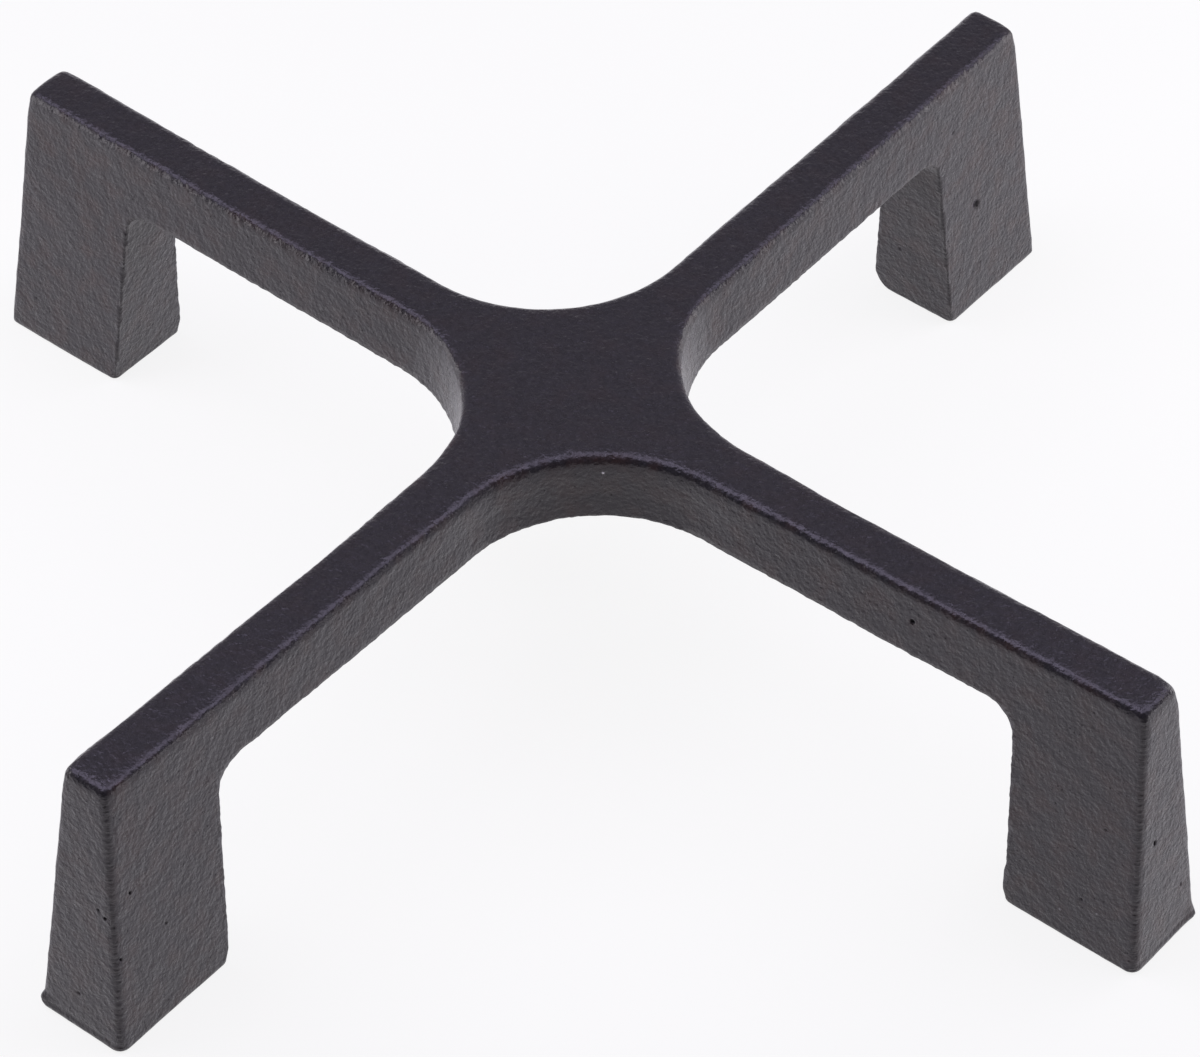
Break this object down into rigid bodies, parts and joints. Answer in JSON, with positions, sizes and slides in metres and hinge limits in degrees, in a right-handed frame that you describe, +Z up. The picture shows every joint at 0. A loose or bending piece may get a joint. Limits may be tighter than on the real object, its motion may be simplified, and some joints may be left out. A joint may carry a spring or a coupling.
{
  "type": "hob pan support",
  "caption": "Cast iron cross with drafted arms and down-turned legs that stands over a gas burner and carries a pan on its shallow dished top.",
  "frame": {"origin": "middle of the plane that the feet stand on, below the middle of the hub", "axes": "+Z up, from the feet to the pan rest; the arms lie along X and Y"},
  "size_m": [0.2062, 0.2062, 0.045],
  "materials": {
    "black_coat": "matt black coat over sand-cast iron, with a fine orange-peel grain"
  },
  "bodies": {
    "root": {"pan_support": "black_coat"}
  },
  "joints": []
}
